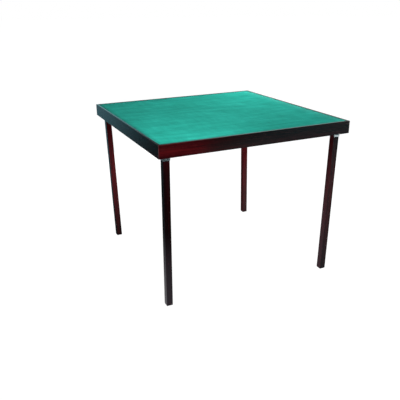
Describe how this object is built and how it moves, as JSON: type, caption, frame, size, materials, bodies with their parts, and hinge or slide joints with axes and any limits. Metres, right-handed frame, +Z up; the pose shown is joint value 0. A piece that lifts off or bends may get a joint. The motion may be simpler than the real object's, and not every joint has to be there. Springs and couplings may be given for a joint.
{
  "type": "folding card table",
  "caption": "Square folding card table with a recessed baize playing surface in a deep dark lacquered rim, on square legs that each fold in under the top on a hinge bracket.",
  "frame": {"origin": "on the floor under the middle of the top, with the legs standing", "axes": "+Z up, normal to the playing surface; +X and +Y along the sides of the square top; the front rail is on the -Y side"},
  "size_m": [0.85, 0.85, 0.692],
  "materials": {
    "lacquered_wood": "very dark red-brown mahogany stain under a glossy clear lacquer",
    "baize": "teal-green wool baize with a short brushed nap",
    "panel": "bare plywood, sealed on its underside",
    "batten": "planed softwood, unfinished",
    "bracket_steel": "pressed steel plate with bright zinc plating",
    "fastener_steel": "bright zinc-plated steel",
    "spring_steel": "tempered spring steel, lightly oiled",
    "foot_plastic": "black nylon glide"
  },
  "bodies": {
    "table_top": {"baize": "baize", "top_panel": "panel", "cross_batten_x": "batten", "cross_batten_y": "batten", "front_rail": "lacquered_wood", "left_rail": "lacquered_wood", "rear_rail": "lacquered_wood", "right_rail": "lacquered_wood", "mitre_spline_front_left": "batten", "hinge_bracket_front_left": "bracket_steel", "pivot_bolt_front_left": "fastener_steel", "pivot_nut_front_left": "fastener_steel", "friction_spring_front_left": "spring_steel", "leg_clip_front_left": "spring_steel", "bracket_web_screw_front_left": "fastener_steel", "bracket_ear_screw_front_left": "fastener_steel", "clip_screw_front_left": "fastener_steel", "spring_screw_front_left": "fastener_steel", "mitre_spline_rear_left": "batten", "hinge_bracket_rear_left": "bracket_steel", "pivot_bolt_rear_left": "fastener_steel", "pivot_nut_rear_left": "fastener_steel", "friction_spring_rear_left": "spring_steel", "leg_clip_rear_left": "spring_steel", "bracket_web_screw_rear_left": "fastener_steel", "bracket_ear_screw_rear_left": "fastener_steel", "clip_screw_rear_left": "fastener_steel", "spring_screw_rear_left": "fastener_steel", "mitre_spline_rear_right": "batten", "hinge_bracket_rear_right": "bracket_steel", "pivot_bolt_rear_right": "fastener_steel", "pivot_nut_rear_right": "fastener_steel", "friction_spring_rear_right": "spring_steel", "leg_clip_rear_right": "spring_steel", "bracket_web_screw_rear_right": "fastener_steel", "bracket_ear_screw_rear_right": "fastener_steel", "clip_screw_rear_right": "fastener_steel", "spring_screw_rear_right": "fastener_steel", "mitre_spline_front_right": "batten", "hinge_bracket_front_right": "bracket_steel", "pivot_bolt_front_right": "fastener_steel", "pivot_nut_front_right": "fastener_steel", "friction_spring_front_right": "spring_steel", "leg_clip_front_right": "spring_steel", "bracket_web_screw_front_right": "fastener_steel", "bracket_ear_screw_front_right": "fastener_steel", "clip_screw_front_right": "fastener_steel", "spring_screw_front_right": "fastener_steel"},
    "folding_leg_front_left": {"leg_front_left": "lacquered_wood", "foot_pad_front_left": "foot_plastic"},
    "folding_leg_rear_left": {"leg_rear_left": "lacquered_wood", "foot_pad_rear_left": "foot_plastic"},
    "folding_leg_rear_right": {"leg_rear_right": "lacquered_wood", "foot_pad_rear_right": "foot_plastic"},
    "folding_leg_front_right": {"leg_front_right": "lacquered_wood", "foot_pad_front_right": "foot_plastic"}
  },
  "joints": [
    {"name": "leg_fold_front_left", "type": "hinge", "parent": "table_top", "child": "folding_leg_front_left", "pos_m": [-0.3845, -0.3845, 0.6635], "axis": [1, 0, 0], "range_deg": [0, 88.6]},
    {"name": "leg_fold_rear_left", "type": "hinge", "parent": "table_top", "child": "folding_leg_rear_left", "pos_m": [-0.3845, 0.3845, 0.6635], "axis": [0, -1, 0], "range_deg": [0, 88.6]},
    {"name": "leg_fold_rear_right", "type": "hinge", "parent": "table_top", "child": "folding_leg_rear_right", "pos_m": [0.3845, 0.3845, 0.6635], "axis": [-1, 0, 0], "range_deg": [0, 88.6]},
    {"name": "leg_fold_front_right", "type": "hinge", "parent": "table_top", "child": "folding_leg_front_right", "pos_m": [0.3845, -0.3845, 0.6635], "axis": [0, 1, 0], "range_deg": [0, 88.6]}
  ]
}
